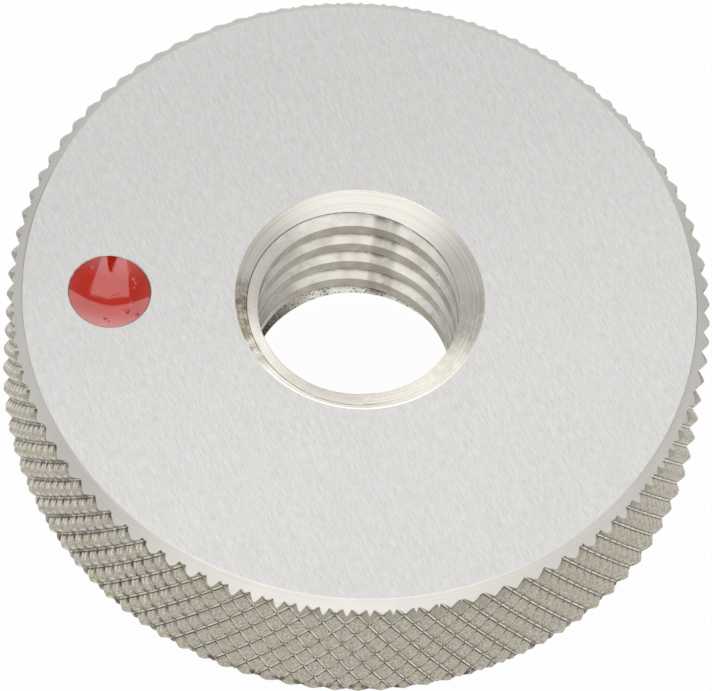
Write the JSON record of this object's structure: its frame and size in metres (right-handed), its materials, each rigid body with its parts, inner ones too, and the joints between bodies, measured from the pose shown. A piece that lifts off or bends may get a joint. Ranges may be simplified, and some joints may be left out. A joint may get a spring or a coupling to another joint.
{
  "type": "thread ring gauge",
  "caption": "Knurled steel ring with a countersunk threaded bore and a red spot in one face, for testing that an external thread is not undersize.",
  "frame": {"origin": "centre of the lower face, on the axis of the bore", "axes": "+Z along the bore towards the face with the red spot; the spot lies near -X"},
  "size_m": [0.038, 0.038, 0.01],
  "materials": {
    "ring_steel": "ground faces, knurled rim",
    "red_enamel": "gloss enamel"
  },
  "bodies": {
    "root": {"gauge_ring": "ring_steel", "marker_enamel": "red_enamel"}
  },
  "joints": []
}
